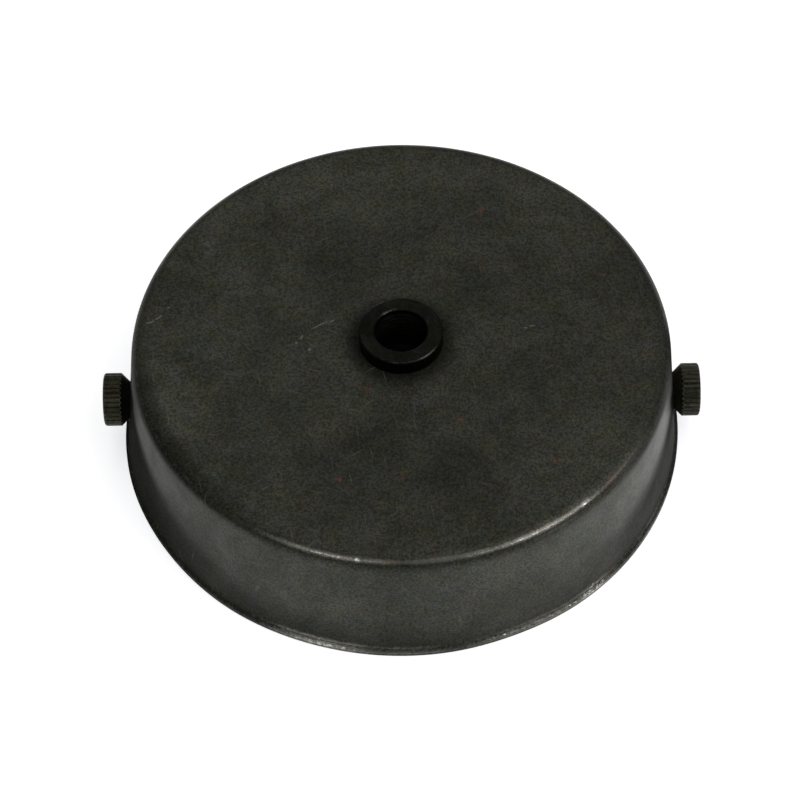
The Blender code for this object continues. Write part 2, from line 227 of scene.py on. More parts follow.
def make_cloud_group():
    """Clouds, tooth and specks from 0 to 1, and a tinge: a colour near white that drifts slowly."""
    scales = {"Cloud Scale": 110.0, "Tooth Scale": 2300.0, "Speck Scale": 190.0, "Drift Scale": 330.0}
    group, given, result = new_group("cloudy finish", scales, ("Clouds", "Tooth", "Specks"), ("Tinge",))
    place = given["Position"]
    wide = noise(place, given["Cloud Scale"], detail=5.0, roughness=0.62, distortion=0.6)
    fine = noise(place, given["Tooth Scale"], detail=2.0, roughness=0.75)
    colour = noise(place, given["Drift Scale"], roughness=0.65, output="Color")
    low, high = ((limit,) * 3 for limit in CLOUD_RANGE)
    ranges = {6: colour, 7: low, 8: high, 9: DRIFT_LOW, 10: DRIFT_HIGH}
    tinge = add_node("ShaderNodeMapRange", ranges, data_type="FLOAT_VECTOR")
    dot, chance = scattered_dots(place, given["Speck Scale"], *SPECK_EDGE)
    outputs = {
        "Clouds": soft_step(wide, *CLOUD_RANGE),
        "Tooth": soft_step(fine, *CLOUD_RANGE),
        "Tinge": tinge.outputs["Vector"],
        "Specks": times(dot, soft_step(chance["Red"], *SPECK_CHANCE)),
    }
    feed(result, outputs)
    return group


def make_hairline_group():
    """Short straight hairlines in a few directions, 1 in the scratch and 0 outside it."""
    numbers = {"Spacing Scale": 150.0, "Slimness": 18.0, "Share": 0.05}
    group, given, result = new_group("hairlines", numbers, ("Hairlines",))
    limit = maths("SUBTRACT", 1.0, given["Share"])
    total = 0.0
    for layer, angle in enumerate(SCRATCH_DIRECTIONS):
        tilt = (SCRATCH_TILT[0] * layer, SCRATCH_TILT[1] * layer, angle)
        turned = add_node("ShaderNodeMapping", {"Vector": given["Position"], "Rotation": tilt})
        parts = add_node("ShaderNodeSeparateXYZ", {"Vector": turned.outputs["Vector"]}).outputs
        squeezed = {"X": parts["X"], "Y": times(parts["Y"], given["Slimness"]), "Z": parts["Z"]}
        lane = add_node("ShaderNodeCombineXYZ", squeezed).outputs["Vector"]
        dash, chance = scattered_dots(lane, given["Spacing Scale"], *SCRATCH_EDGE)
        chosen = maths("GREATER_THAN", chance["Green"], limit)
        total = maths("MAXIMUM", total, times(dash, chosen))
    feed(result, {"Hairlines": total})
    return group


def make_rub_group():
    """Where a finish is rubbed through: a rub value broken up by noise into thinned and bare metal."""
    numbers = {"Rub": 0.0, "Patch Scale": 1700.0, "Patchiness": 1.0}
    group, given, result = new_group("rubbed through", numbers, ("Thinned", "Bare"))
    patches = noise(given["Position"], given["Patch Scale"], roughness=0.65)
    swing = times(maths("SUBTRACT", patches, 0.5), given["Patchiness"])
    worn = maths("ADD", given["Rub"], times(swing, 2.0))
    present = soft_step(given["Rub"], *RUB_SHOWS)
    for output, limits in (("Thinned", THINNED_AT), ("Bare", BARE_AT)):
        feed(result, {output: times(soft_step(worn, *limits), present)})
    return group


FACE, RIM = 24.5, 1.2
MARK_EDGE = (0.5, 1.2)
MARK_PLACES = (
    (-14.2, 4.0, FACE, 2.0, 0.12, 32), (-12.1, 4.8, FACE, 0.5, 0.16, 32), (-17.5, 1.3, FACE, 0.6, 0.18, 60),
    (-18.4, 0.0, FACE, 0.3, 0.20, 0), (-16.1, -1.6, FACE, 0.3, 0.30, 0), (-44.3, 5.2, FACE, 0.9, 0.15, 20),
    (-42.8, 6.2, FACE, 0.9, 0.14, 35), (-41.1, 8.5, FACE, 0.3, 0.16, 0), (22.0, 2.5, FACE, 0.34, 0.22, 0),
    (23.2, 2.9, FACE, 0.6, 0.16, 5), (17.0, -46.6, RIM, 0.24, 0.20, 20),
    (32.7, -37.0, RIM + 0.8, 0.26, 0.30, 40), (33.5, -36.8, RIM, 0.24, 0.26, 40),
    (32.2, -37.9, RIM, 0.38, 0.28, 40), (31.2, -38.7, RIM, 0.30, 0.30, 40),
    (30.4, -39.4, RIM + 0.3, 0.18, 0.20, 40), (29.7, -40.1, RIM - 0.1, 0.20, 0.22, 40),
    (34.5, -35.8, RIM, 0.36, 0.24, 44), (28.6, -40.8, RIM, 0.22, 0.20, 35),
)


def make_marks_group():
    """Nicks and scratches at known places on the face and over the rim, 1 inside each.

    A mark is (x, y, z, half length, half width, angle): a pebble in millimetres, turned by degrees round Z.
    """
    group, given, result = new_group("nicks and scratches", {}, ("Marks",))
    total = 0.0
    for x, y, z, half_length, half_width, angle in MARK_PLACES:
        pebble = {
            "Vector": given["Position"],
            "Location": (x * MM, y * MM, z * MM),
            "Rotation": (0.0, 0.0, math.radians(angle)),
            "Scale": (half_length * MM, half_width * MM, half_width * MM),
        }
        in_mark = add_node("ShaderNodeMapping", pebble, vector_type="TEXTURE").outputs["Vector"]
        away = add_node("ShaderNodeVectorMath", {0: in_mark}, operation="LENGTH").outputs["Value"]
        inside = maths("SUBTRACT", 1.0, soft_step(away, *MARK_EDGE))
        total = maths("MAXIMUM", total, inside)
    feed(result, {"Marks": total})
    return group


CLOUDS = make_cloud_group()
HAIRLINES = make_hairline_group()
RUBBED = make_rub_group()
MARKS = make_marks_group()
print("effect groups:", [group.name for group in (CLOUDS, HAIRLINES, RUBBED, MARKS)])

# %% [markdown]
# ## The finishes
#
# Blackened steel is a thin dark skin over bright metal, and it still shines like metal, only much darker.
# Where the skin is thickest it is dull, like soot, and the same darkening also carries painted shade, and
# below 0 painted light. Where it is rubbed through it turns first brown and then to bare metal, which is
# smoother. One function makes such a skin, and the cup, the bush and the screws each give it their own
# colours and wear. Another makes plated and plain bright metal.

# %% Finishes
# How much a darkening of 1, blackening or painted shade alike, darkens, dulls and roughens the skin.
DARKENED_SHADE = 0.36
DARKENED_SHEEN = 0.10
DARKENED_ROUGHNESS = 0.60
WORN_ROUGHNESS = 0.25
FOOT_TO_WALL = (4 * MM, 12 * MM)
SPOT_STRENGTH, SCRATCH_STRENGTH = 0.55, 0.35
RUSTY_AT = (0.54, 0.68)
RIM_NICKS, RIM_RUST = 0.34, 0.35
RIPPLE_SCALE, RIPPLE_HEIGHT, TOOTH_HEIGHT, SCRATCH_DEPTH = 260.0, 2.2, 0.8, 0.35


def start_material(name):
    """A material with its shader, and the Object coordinates that every pattern reads."""
    material = bpy.data.materials.new(name)
    material.use_nodes = True
    tree = material.node_tree
    place = add_node("ShaderNodeTexCoord", tree=tree).outputs["Object"]
    return material, tree, tree.nodes["Principled BSDF"], place


def blackened_skin(
    name, dark, light, spot, thin, brown, bare, gloss, grain, patchiness, brown_scale, marks=None, uneven=True
):
    """A dark chemical skin on metal: cloudy, grainy, spotted, scratched, and rubbed through at its edges.

    Two attributes steer it: rub, where the skin is worn off, and a second value that darkens the skin where
    the blackening is thick and where shade is painted, and lightens it below 0 as painted light; on a piece
    whose skin is uneven it also dulls it. Gloss is the roughness in the light and the dark clouds. Patchiness
    is how broken the worn places are, at the foot and from 12 mm up. Marks is a group of nicks, brightest at
    the foot.
    """
    material, tree, shader, place = start_material(name)
    cloud = use_group(CLOUDS, {"Position": place})
    scratch = use_group(HAIRLINES, {"Position": place})["Hairlines"]
    rub_value = add_node("ShaderNodeAttribute", tree=tree, attribute_name="rub").outputs["Fac"]
    heavy = add_node("ShaderNodeAttribute", tree=tree, attribute_name="heavy").outputs["Fac"]
    height = add_node("ShaderNodeSeparateXYZ", {"Vector": place}).outputs["Z"]
    raised = soft_step(height, *FOOT_TO_WALL)
    broken = blend_values(raised, *patchiness)
    worn = use_group(RUBBED, {"Position": place, "Rub": rub_value, "Patchiness": broken})
    thick_blackening_and_painted_light = times(heavy, maths("SUBTRACT", 1.0, worn["Thinned"]))

    skin = blend(cloud["Clouds"], dark, light)
    tinted = add_node("ShaderNodeVectorMath", {0: skin, 1: cloud["Tinge"]}, operation="MULTIPLY")
    skin = blend(times(cloud["Specks"], SPOT_STRENGTH), tinted.outputs[0], spot)
    grainy = blend_values(cloud["Tooth"], 1.0 - grain, 1.0 + grain)
    # The second attribute darkens the colour as blackening and as painted shade, and lightens it below 0 as
    # painted light.
    shade = times(grainy, maths("POWER", DARKENED_SHADE, heavy))
    skin = add_node("ShaderNodeVectorMath", {0: skin, "Scale": shade}, operation="SCALE").outputs[0]
    skin = blend(times(scratch, SCRATCH_STRENGTH), skin, thin)
    rusty = soft_step(noise(place, brown_scale, detail=2.0), *RUSTY_AT)
    if marks:
        nicks = use_group(marks, {"Position": place})["Marks"]
        skin = blend(nicks, skin, thin)
        rusty = times(rusty, blend_values(raised, RIM_RUST, 1.0))
    skin = blend(worn["Thinned"], skin, blend(rusty, thin, brown))
    skin = blend(worn["Bare"], skin, bare)
    if marks:
        skin = blend(times(nicks, blend_values(raised, RIM_NICKS, 0.0)), skin, bare)

    low, high = gloss
    rough = blend_values(cloud["Clouds"], high, low)
    rough = blend_values(thick_blackening_and_painted_light, rough, DARKENED_ROUGHNESS)
    ripple = times(noise(place, RIPPLE_SCALE, detail=2.0), RIPPLE_HEIGHT)
    relief = maths("ADD", ripple, times(cloud["Tooth"], TOOTH_HEIGHT))
    relief = maths("SUBTRACT", relief, times(scratch, SCRATCH_DEPTH))
    inputs = {
        "Base Color": skin,
        "Metallic": blend_values(thick_blackening_and_painted_light, 1.0, DARKENED_SHEEN) if uneven else 1.0,
        "Roughness": blend_values(worn["Thinned"], rough, WORN_ROUGHNESS),
        "Specular IOR Level": 0.0,
        "Normal": bumps(relief, strength=0.35, size=0.06 * MM),
    }
    feed(shader, inputs)
    return material


def bright_metal(name, dark, light, gloss, bump, cloud_scales, specks=None):
    """Plated or plain metal: soft blotches and a fine tooth. With specks it is scratched as well."""
    material, tree, shader, place = start_material(name)
    cloud = use_group(CLOUDS, {"Position": place, **cloud_scales})
    metal, height = blend(cloud["Clouds"], dark, light), cloud["Tooth"]
    if specks:
        metal = blend(times(cloud["Specks"], 0.5), metal, specks)
        scratch = use_group(HAIRLINES, {"Position": place, "Share": 0.45})["Hairlines"]
        height = maths("SUBTRACT", height, scratch)
    inputs = {
        "Base Color": metal,
        "Metallic": 1.0,
        "Roughness": blend_values(cloud["Clouds"], *gloss),
        "Normal": bumps(height, *bump),
    }
    feed(shader, inputs)
    return material


cup_steel = blackened_skin(
    "blackened steel",
    dark=(0.0310, 0.0321, 0.0254), light=(0.0442, 0.0454, 0.0370), spot=(0.1100, 0.0440, 0.0350),
    thin=(0.1150, 0.1130, 0.1020), brown=(0.1260, 0.1030, 0.0880), bare=(0.64, 0.63, 0.58),
    gloss=(0.36, 0.46), grain=0.45, patchiness=(0.45, 0.30), brown_scale=90.0, marks=MARKS,
)
bush_steel = blackened_skin(
    "blackened bush",
    dark=(0.0050, 0.0052, 0.0042), light=(0.0110, 0.0112, 0.0092), spot=(0.0200, 0.0120, 0.0100),
    thin=(0.0380, 0.0385, 0.0350), brown=(0.0390, 0.0370, 0.0320), bare=(0.30, 0.30, 0.28),
    gloss=(0.40, 0.50), grain=0.30, patchiness=(0.4, 0.4), brown_scale=90.0, uneven=False,
)
screw_brass = blackened_skin(
    "blackened brass",
    dark=(0.0140, 0.0145, 0.0105), light=(0.0310, 0.0305, 0.0215), spot=(0.0700, 0.0330, 0.0220),
    thin=(0.0400, 0.0380, 0.0290), brown=(0.0620, 0.0420, 0.0280), bare=(0.15, 0.118, 0.092),
    gloss=(0.42, 0.54), grain=0.45, patchiness=(1.1, 1.1), brown_scale=260.0,
)
zinc = bright_metal(
    "zinc plate", (0.40, 0.41, 0.43), (0.56, 0.57, 0.57), gloss=(0.30, 0.46), bump=(0.3, 0.04 * MM),
    cloud_scales={"Cloud Scale": 160.0, "Speck Scale": 700.0}, specks=(0.20, 0.19, 0.17),
)
brass = bright_metal(
    "plain brass", (0.42, 0.28, 0.11), (0.66, 0.48, 0.22), gloss=(0.40, 0.24), bump=(0.2, 0.03 * MM),
    cloud_scales={"Cloud Scale": 300.0},
)
print("finishes:", [m.name for m in (cup_steel, bush_steel, screw_brass, zinc, brass)])

# %% [markdown]
# ## Grids into meshes
#
# Most of these pieces were turned, spun or bent, so each is a grid of points: one direction goes round
# or along the piece, the other follows its outline. The points are worked out as whole arrays. A grid may
# close on itself, and a row that shrinks to one point is a pole, so the last step merges doubles and
# turns the faces outwards. Beside each point go two values that the finishes read as attributes: rub, and
# a second value that darkens and dulls the finish where the blackening is thick and where shade is
# painted, and below 0 lightens it as painted light.

# %% Grid helpers
ARC_STEP = math.radians(7.5)
RUB_REACH = 0.36 * MM


def rounded_outline(rows, closed=True, reach=RUB_REACH):
    """Straight runs between corners, with an arc at each corner.

    A row is (x, y, radius, rub, step) in millimetres. Each arc touches its two runs at
    radius * tan(turn / 2) from the corner. Rub fades as a bell curve of the given reach away from the
    arc's middle.
    """
    rows = np.asarray(rows, float)
    corner, radius, rub, step = rows[:, :2] * MM, rows[:, 2] * MM, rows[:, 3], rows[:, 4] * MM
    run = np.roll(corner, -1, 0) - corner
    run /= np.linalg.norm(run, axis=1)[:, None]
    before = np.roll(run, 1, 0)
    turn = np.arctan2(before[:, 0] * run[:, 1] - before[:, 1] * run[:, 0], (before * run).sum(1))
    if not closed:
        turn[[0, -1]] = 0.0
    setback = radius * np.tan(np.abs(turn) / 2)
    inward = np.sign(turn)[:, None] * np.stack([-before[:, 1], before[:, 0]], 1)
    centre = corner - before * setback[:, None] + inward * radius[:, None]
    pieces, middle = [], []
    for i in range(len(rows)):
        arc = corner[i][None]
        if setback[i] > 1e-9:
            steps = max(2, math.ceil(abs(turn[i]) / ARC_STEP))
            swing = turn[i] * np.arange(steps + 1) / steps
            (x, y), cos, sin = -inward[i] * radius[i], np.cos(swing), np.sin(swing)
            arc = centre[i] + np.stack([x * cos - y * sin, x * sin + y * cos], 1)
        middle.append(sum(len(p) for p in pieces) + len(arc) // 2)
        pieces.append(arc)
        if closed or i < len(rows) - 1:
            following = (i + 1) % len(rows)
            finish = corner[following] - run[i] * setback[following]
            count = max(1, math.ceil(np.linalg.norm(finish - arc[-1]) / step[i]))
            share = np.arange(1, count)[:, None] / count
            pieces.append(arc[-1] + (finish - arc[-1]) * share)
    points = np.concatenate(pieces)
    length = np.concatenate([[0.0], np.cumsum(np.linalg.norm(np.diff(points, axis=0), axis=1))])
    away = np.abs(length[:, None] - length[middle][None, :])
    return points, (rub * np.exp(-((away / reach) ** 2))).max(1)


def turned_grid(rows, count, closed=True, reach=RUB_REACH):
    """Carries a rounded outline of (radius, height) round Z: x = r cos a, y = r sin a, z = height."""
    outline, rub = rounded_outline(rows, closed, reach)
    angle = np.arange(count)[:, None] * TURN / count
    radius, height = outline[None, :, 0], outline[None, :, 1]
    grid = np.stack([radius * np.cos(angle), radius * np.sin(angle), height + 0 * angle], -1)
    return grid, np.repeat(rub[None], count, 0)


def polar(grid):
    """Each point's distance from Z in millimetres, never quite 0, and its angle round Z."""
    radius = np.maximum(np.linalg.norm(grid[..., :2], axis=-1) / MM, 1e-6)
    return radius, np.arctan2(grid[..., 1], grid[..., 0])


def set_radius(grid, radius, wanted):
    """Slides points towards or away from Z, from their own radius to the wanted one."""
    grid[..., :2] *= (wanted / radius)[..., None]


def cut_thread(grid, crest, depth, pitch, ends=(-99.0, 99.0), run_out=0.8):
    """Cuts a helical groove into the points that lie at the crest's radius.

    Its depth is depth * (1 - |2 p - 1|), where p is the fraction part of height / pitch + angle / turn,
    and it eases to 0 over the run-out's length at both ends. A thread in a bore has a depth below 0.
    """
    radius, angle = polar(grid)
    height = grid[..., 2] / MM
    phase = (height / pitch + angle / TURN) % 1.0
    groove = depth * (1.0 - np.abs(2.0 * phase - 1.0)) * (np.abs(radius - crest) < 0.01)
    for from_end in (height - ends[0], ends[1] - height):
        groove = groove * np.clip(from_end / run_out, 0, 1)
    set_radius(grid, radius, radius - groove)


def grid_faces(rows, columns, wrap_rows, wrap_columns):
    """The corner numbers of each quad between neighbouring points of a grid."""
    i = np.arange(rows if wrap_rows else rows - 1)[:, None]
    j = np.arange(columns if wrap_columns else columns - 1)[None]
    i_next, j_next = (i + 1) % rows, (j + 1) % columns
    quad = (i * columns + j, i_next * columns + j, i_next * columns + j_next, i * columns + j_next)
    return np.stack(np.broadcast_arrays(*quad), -1).reshape(-1, 4)


def build_mesh(name, shells, heavy=0.0, wraps=(True, True)):
    """One mesh from (grid, rub) shells, merged, closed and facing out. Wraps closes rows and columns."""
    points, rubs, faces, count = [], [], [], 0
    for grid, rub in shells:
        faces.append(grid_faces(*grid.shape[:2], *wraps) + count)
        points.append(grid.reshape(-1, 3))
        rubs.append(np.ravel(rub))
        count += grid.shape[0] * grid.shape[1]
    mesh = bpy.data.meshes.new(name)
    mesh.from_pydata(np.concatenate(points), [], np.concatenate(faces))
    blackening_and_painted_light_values = np.broadcast_to(np.ravel(heavy), count).astype(float)
    for attribute, values in (("rub", np.concatenate(rubs)), ("heavy", blackening_and_painted_light_values)):
        mesh.attributes.new(attribute, "FLOAT", "POINT").data.foreach_set("value", values)
    tidy = bmesh.new()
    tidy.from_mesh(mesh)
    bmesh.ops.remove_doubles(tidy, verts=tidy.verts, dist=1e-7)
    bmesh.ops.recalc_face_normals(tidy, faces=tidy.faces)
    if tidy.calc_volume(signed=True) < 0:
        bmesh.ops.reverse_faces(tidy, faces=tidy.faces)
    tidy.to_mesh(mesh)
    tidy.free()
    return mesh


def add_object(name, mesh):
    """An object at the origin that holds the mesh."""
    made = bpy.data.objects.new(name, mesh)
    bpy.context.scene.collection.objects.link(made)
    return made


def shape(name, *shells, **settings):
    """An object made from shells, before it is carved and fitted."""
    return add_object(name, build_mesh(name, shells, **settings))


def fit_piece(piece, material, body, node_name, sharp_degrees=32):
    """Shades a piece, gives it its finish, puts it under its body, and hides the imported node that it stands
    for.
    """
    piece.data.shade_smooth()
    piece.data.set_sharp_from_angle(angle=math.radians(sharp_degrees))
    piece.data.materials.clear()
    piece.data.materials.append(material)
    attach(piece, body)
    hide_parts(node_name)
    triangles = sum(len(face.vertices) - 2 for face in piece.data.polygons)
    print(f"{piece.name}: {triangles} triangles for {node_name}")


def box_mm(node_name):
    """A node's lowest and highest corner in millimetres."""
    return (np.array(corner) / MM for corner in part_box(node_name))


# %% [markdown]
# Holes and slots are cut as a workshop cuts them, by running a tool through the piece. The tool is a bar
# over a ring of points, and a round rod is the same bar over a circle, laid along any line.

# %% Carving helpers
ROD_STEPS = 64


def bar_mesh(ring, low, high):
    """A closed upright bar over a ring of (x, y) points, between two heights, all in millimetres."""
    middle = np.mean(ring, 0)
    flat = middle + (np.asarray(ring)[:, None] - middle) * np.array([0.0, 1.0, 1.0, 0.0])[None, :, None]
    levels = np.broadcast_to(np.array([low, low, high, high])[None, :, None], (len(ring), 4, 1))
    grid = np.concatenate([flat, levels], -1) * MM
    return build_mesh("bar", [(grid, np.zeros(grid.shape[:2]))], wraps=(True, False))


def rod_mesh(start, end, radius, count=ROD_STEPS):
    """A closed cylinder between two points, in millimetres."""
    start, end = Vector(start), Vector(end)
    angle = np.arange(count) * TURN / count
    mesh = bar_mesh(radius * np.stack([np.cos(angle), np.sin(angle)], 1), 0.0, (end - start).length)
    turn = (end - start).to_track_quat("Z", "Y").to_matrix().to_4x4()
    mesh.transform(Matrix.Translation(start * MM) @ turn)
    return mesh


def carve(piece, tool_mesh, operation="DIFFERENCE"):
    """Cuts or joins a mesh with a Boolean, keeps the result and drops the tool."""
    tool = add_object("carving tool", tool_mesh)
    modifier = piece.modifiers.new("carve", "BOOLEAN")
    modifier.operation, modifier.solver, modifier.object = operation, "EXACT", tool
    bpy.context.view_layer.update()
    shaped = piece.evaluated_get(bpy.context.evaluated_depsgraph_get())
    piece.data = bpy.data.meshes.new_from_object(shaped)
    piece.modifiers.clear()
    bpy.data.objects.remove(tool)


# %% [markdown]
# ## The pressed cup
#
# The cup is one disc of steel pressed over a former, so its section is one line of even thickness: a
# short upright edge at the rim, a small curl, a wall that leans in, a rounded corner and a flat face. It
# could be a cylinder with bevels, but a section carried round the axis puts each radius where the press
# put it, and it leaves room for what presswork really has: a rim that is a hair out of round.

# %% The cup's section
_, cup_high = box_mm("canopy_cup")
screw_low, screw_high = box_mm("right_thumb_screw")
RIM_RADIUS = cup_high[0]
CUP_HEIGHT = cup_high[2]
FACE_RADIUS = 47.4
CORNER_RADIUS = 2.5
SHEET = 1.0
EDGE_HEIGHT = 0.95
CURL_HEIGHT = 1.55
WALL_FOOT_RADIUS = 49.38
FACE_HOLE_RADIUS = 6.3
# Inside this radius the face's points lie closer, to draw the painted shadow ring round the bush.
COLLAR_SHADE_RADIUS = 12.0
WALL_HOLE_RADIUS = 3.75
SCREW_HEIGHT = (screw_low[2] + screw_high[2]) / 2
CUP_RUB_REACH = 0.65 * MM
CUP_STEPS_ROUND = 432


def make_cup_grid():
    """The cup's section carried round: outside up, across the face, and back down inside."""
    lean = (WALL_FOOT_RADIUS - FACE_RADIUS) / (CUP_HEIGHT - CURL_HEIGHT)
    inner_face = FACE_RADIUS + lean * SHEET - SHEET
    rows = [
        (RIM_RADIUS - SHEET, 0, 0.20, 0.4, 0.5),
        (RIM_RADIUS, 0, 0.22, 0.7, 0.2),
        (RIM_RADIUS, EDGE_HEIGHT, 0.25, 1, 0.2),
        (WALL_FOOT_RADIUS, CURL_HEIGHT, 0.70, 0.8, 0.8),
        (FACE_RADIUS, CUP_HEIGHT, CORNER_RADIUS, 1, 1.6),
        (COLLAR_SHADE_RADIUS, CUP_HEIGHT, 0, 0, 0.4),
        (FACE_HOLE_RADIUS, CUP_HEIGHT, 0.15, 0, 0.5),
        (FACE_HOLE_RADIUS, CUP_HEIGHT - SHEET, 0.15, 0, 2.5),
        (inner_face, CUP_HEIGHT - SHEET, CORNER_RADIUS - SHEET, 0, 1.6),
        (WALL_FOOT_RADIUS - SHEET, CURL_HEIGHT, 0.70, 0, 0.3),
        (RIM_RADIUS - SHEET, EDGE_HEIGHT, 0.40, 0, 0.3),
    ]
    return turned_grid(rows, CUP_STEPS_ROUND, reach=CUP_RUB_REACH)


cup_grid, cup_rub = make_cup_grid()
print("points in the cup's section:", cup_grid.shape[1])

# %% [markdown]
# Wear isn't even round the canopy. Hands and the bench have rubbed the front and right of the corner and
# two stretches of the rim, so the rub value is scaled by how near each point lies to one of those places.
# A second value darkens the finish, and most of it is painted shade. A painted shade along the foot stands
# for the table's shadow mirrored in the wall, painted reflections of the screw heads climb the wall beside
# the screws, a painted shadow rings the bush, and painted shade darkens the left of the corner and the side
# walls. Patches on the wall are painted reflection, most of them darker and a few lighter. On the face the
# darker patches are uneven blackening and the lighter ones painted light. And the rim has been knocked a
# hair out of round.

# %% Wear, painted light and shade, and dents round the cup
EVEN_WEAR = 0.32
RIM_WEAR = ((-17, 15, 0.95), (0, 16, 0.60), (32, 26, 0.76), (41, 8, 0.98), (62, 14, 0.60), (150, 20, 0.80))
CORNER_WEAR = (
    (-17, 18, 0.85), (-6, 7, 0.80), (7, 12, 0.75), (15, 7, 0.78), (31, 20, 0.84), (54, 14, 0.74),
    (170, 25, 0.60), (-17.2, 0.8, 1.05), (-9.8, 0.7, 1.20), (24.6, 1, 1.00), (40.9, 2, 1.05),
)
WORN_UNDER_CORNER = (33, 11, 23.1, 0.7, 0.46)
RIM_DENTS = ((-78, 14, 0.20), (-38, 12, 0.15), (22, 10, -0.20), (131, 16, -0.12))
# Painted shade along the foot, for the table's shadow mirrored in the wall: heights and depths at the front,
# left and right.
FOOT_SHADE_HEIGHTS, FOOT_SHADE_SOFTNESS = (6.5, 18.7, 16), 6
FOOT_SHADE_DEPTHS = (0.33, 1.15, 0.74)
# Less painted shade on the foot round the front right.
LESS_FOOT_SHADE = (30, 20, 0.75)
# Painted shade beside each screw, for the screw head mirrored in the wall: width, top and softness.
SCREW_SHADE = (9, 17.5, 3)
# Painted reflections of the screw heads, climbing the wall away from each hole.
STREAK_LEFT = ((0, 10.5, 4.6), (2, 11.3, 4.4), (6, 15, 3.4), (10, 17.4, 1.8), (12, 18.4, 0.8))
STREAK_RIGHT = ((0, 7.5, 3.6), (2, 8.6, 3.6), (6, 12.4, 2.6), (10, 16.1, 1.5), (12, 17.2, 0.8))
STREAK_DEPTH, STREAK_FULLNESS, STREAK_FADE = 1.7, 1.6, 4.5
STREAK_STOPS, STREAK_STOP_WIDTH = 93, 3
# A painted shadow ring round the bush's collar.
COLLAR_SHADE_EDGE, COLLAR_SHADE_WIDTH = 7.4, 2.3
# Painted shade on the left of the corner.
DARK_CORNER, DARK_CORNER_DROP, DARK_CORNER_REACH = (-62, 26), 0.6, 0.9
# Painted shade on the left and right side walls.
SIDE_WALLS = ((-78, 32, 0.40), (88, 8, 0.85))
# Wall patches are painted reflection: above 0 painted shade, below 0 painted highlight.
WALL_PATCHES = (
    (0, 999, 22.7, 0.9, 0.10), (54, 22, 16.5, 3.5, -0.55), (67, 7, 18.5, 2.5, -0.20),
    (22, 10, 18, 5, -0.12), (66, 17, 22.5, 1.4, 0.42), (77, 8, 13, 3.2, 0.27), (62, 11, 9, 3, 0.10),
    (-60, 11, 4.5, 4, 0.13), (-45, 7, 10, 3, 0.18), (-54, 7, 13.5, 2.5, 0.20),
)
# Face patches: the darker ones are uneven blackening, the lighter ones painted light.
FACE_PATCHES = (
    (-10.7, 17.6, 7.5, 0.42), (-5.2, -20.5, 5.5, 0.26), (7.9, -28.3, 6.5, 0.48), (-12.6, -25.7, 5, 0.24),
    (-24.2, 27.3, 4.5, 0.12), (-34.8, 13.5, 2.5, 0.20), (-22, -18, 4, 0.18), (13, 10, 6, 0.16),
    (22, -12, 8, 0.12), (-38, 5, 8, 0.16), (-27, -4, 7, 0.10), (-15, -8, 5, 0.22), (-1, -31.5, 4.5, 0.24),
    (-14, -37, 6, 0.26), (-26, -30, 6, 0.18), (43, -6, 7, -0.16), (32, -28, 10, -0.10), (0, 42, 14, -0.10),
    (30, 30, 10, -0.12), (26, 33, 7, -0.25), (37, -20, 6, -0.25), (-13, 37, 8, -0.20), (12, 38, 7, -0.12),
)
# Limits of the summed darkening, from painted light below 0 to painted shade and blackening above.
MOST_LIGHTENING, MOST_DARKENING = -0.80, 1.40


def bell(value, middle, width):
    """A bell curve: 1 at the middle, and down to a third at one width away."""
    return np.exp(-(((value - middle) / width) ** 2))


def side_angle(grid):
    """Degrees round the canopy from the camera's side, positive towards +X."""
    return np.degrees(np.arctan2(grid[..., 0], -grid[..., 1]))


def near(angle, middle, width):
    """A bell in degrees round the canopy, closed across the back."""
    return bell((angle - middle + 180) % 360 - 180, 0, width)


def wear_share(angle, places):
    """How worn each angle is: an even part and a bell round each (middle, width, strength)."""
    bells = [strength * near(angle, middle, width) for middle, width, strength in places]
    return np.maximum.reduce([EVEN_WEAR + 0 * angle, *bells])


def cup_wear(grid, rub):
    """Scales the rub of the rim and the corner by the angle, and wears a band under the corner."""
    angle, z = side_angle(grid), grid[..., 2] / MM
    rub = rub * np.where(z < CUP_HEIGHT / 2, wear_share(angle, RIM_WEAR), wear_share(angle, CORNER_WEAR))
    middle, width, height, reach, strength = WORN_UNDER_CORNER
    band = strength * near(angle, middle, width) * bell(z, height, reach)
    return np.maximum(rub, band * (z < CUP_HEIGHT - SHEET / 4))


def painted_screw_reflection(angle, height, screw_angle, rows):
    """1 in a painted reflection of the screw head: a streak that climbs the wall away from a screw's hole.

    A row is (degrees from the screw, middle height, half height); between rows the values are blended.
    """
    away, middle, half = np.array(rows).T
    aside = np.abs(angle - screw_angle)
    centre, reach = np.interp(aside, away, middle), np.interp(aside, away, half)
    in_front = np.clip((STREAK_STOPS - np.abs(angle)) / STREAK_STOP_WIDTH, 0, 1)
    fading = np.clip((away[-1] - aside) / STREAK_FADE, 0, 1)
    return np.minimum(STREAK_FULLNESS * bell(height, centre, reach), 1) * fading * in_front


